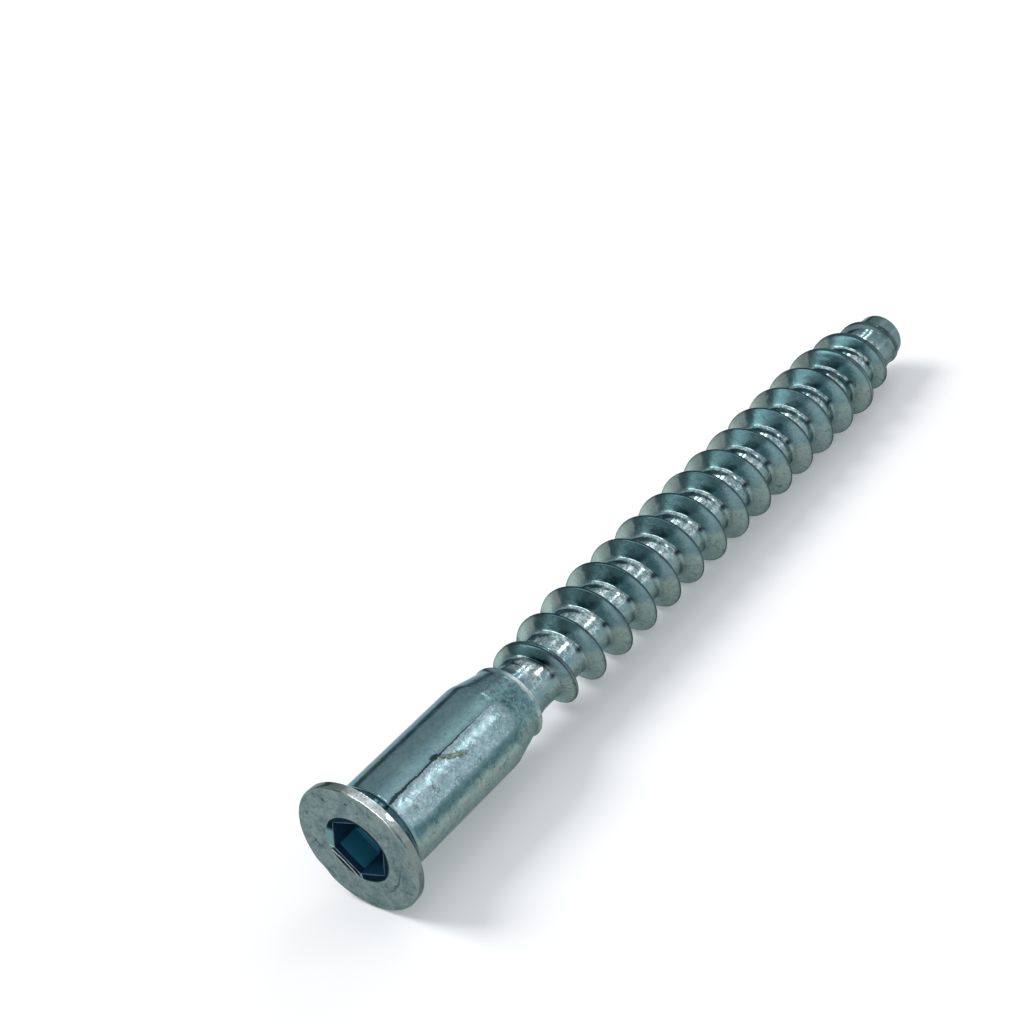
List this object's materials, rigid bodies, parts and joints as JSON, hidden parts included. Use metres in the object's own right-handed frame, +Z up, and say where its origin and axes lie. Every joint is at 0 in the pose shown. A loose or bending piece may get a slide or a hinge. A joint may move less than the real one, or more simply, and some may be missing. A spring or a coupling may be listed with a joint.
{
  "type": "confirmat screw",
  "caption": "Countersunk one-piece furniture connector screw with hexagon socket, plain shank, necked taper and coarse thread.",
  "frame": {"origin": "on the table under the middle of the lying screw's bounding box", "axes": "+X from the head towards the point, +Z up, +Y across the screw, in the pose in which it comes to rest on its head rim and one thread crest"},
  "size_m": [0.0702, 0.01, 0.0101],
  "materials": {
    "zinc_plated_steel": "blue-white zinc plating over cold-formed steel, dull and mottled, with small nicks on the edges"
  },
  "bodies": {
    "root": {"screw": "zinc_plated_steel"}
  },
  "joints": []
}
